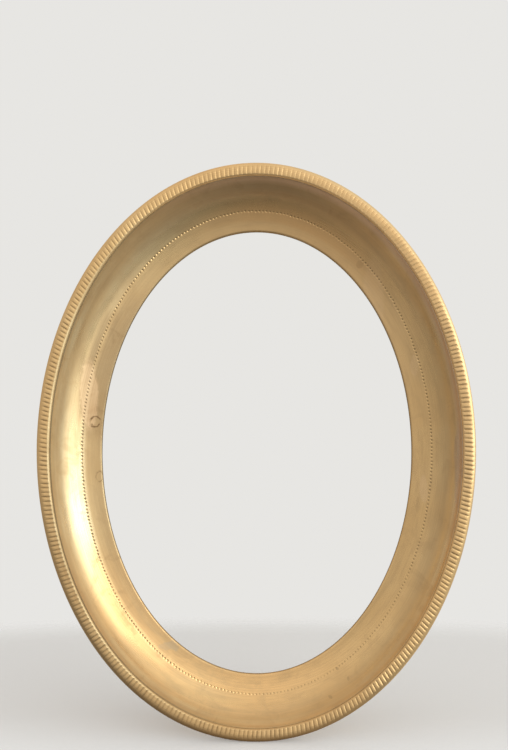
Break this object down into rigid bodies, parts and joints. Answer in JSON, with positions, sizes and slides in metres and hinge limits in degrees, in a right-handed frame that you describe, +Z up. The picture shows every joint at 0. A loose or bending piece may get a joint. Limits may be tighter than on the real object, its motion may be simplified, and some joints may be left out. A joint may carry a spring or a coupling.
{
  "type": "oval picture frame",
  "caption": "Oval brass picture frame: reeded rim, scooped cove and sloping flange round an open sight, with a rebate collar, turn clips and a hanging ring behind.",
  "frame": {"origin": "centre of the bounding box: the middle of the oval at half the frame's depth", "axes": "+X to the right seen from the front, +Y from the front towards the wall, +Z up along the oval's long axis"},
  "size_m": [0.167, 0.021, 0.22],
  "materials": {
    "gilt_shell": "worn gilt, satin to polished",
    "gilt_rim": "polished crests, toned grooves",
    "back_brass": "plain, toned",
    "clip_brass": "satin",
    "screw_brass": "turned"
  },
  "bodies": {
    "frame": {"cove_shell": "gilt_shell", "reeded_rim": "gilt_rim", "rebate_collar": "back_brass", "clip_pillar_1": "back_brass", "clip_pillar_2": "back_brass", "clip_pillar_3": "back_brass", "clip_pillar_4": "back_brass", "clip_screw_1": "screw_brass", "clip_screw_2": "screw_brass", "clip_screw_3": "screw_brass", "clip_screw_4": "screw_brass", "hanger_strap": "clip_brass"},
    "clip_1": {"turn_clip_1": "clip_brass"},
    "clip_2": {"turn_clip_2": "clip_brass"},
    "clip_3": {"turn_clip_3": "clip_brass"},
    "clip_4": {"turn_clip_4": "clip_brass"},
    "ring": {"hanger_ring": "screw_brass"}
  },
  "joints": [
    {"name": "clip_turn_1", "type": "hinge", "parent": "frame", "child": "clip_1", "pos_m": [0.04766, 0.00913, 0.0664], "axis": [0, 1, 0], "continuous": true},
    {"name": "clip_turn_2", "type": "hinge", "parent": "frame", "child": "clip_2", "pos_m": [-0.04766, 0.00913, 0.0664], "axis": [0, 1, 0], "continuous": true},
    {"name": "clip_turn_3", "type": "hinge", "parent": "frame", "child": "clip_3", "pos_m": [-0.04766, 0.00913, -0.0664], "axis": [0, 1, 0], "continuous": true},
    {"name": "clip_turn_4", "type": "hinge", "parent": "frame", "child": "clip_4", "pos_m": [0.04766, 0.00913, -0.0664], "axis": [0, 1, 0], "continuous": true},
    {"name": "ring_swing", "type": "hinge", "parent": "frame", "child": "ring", "pos_m": [0, 0.00573, 0.10485], "axis": [1, 0, 0], "range_deg": [-5, 180]}
  ]
}
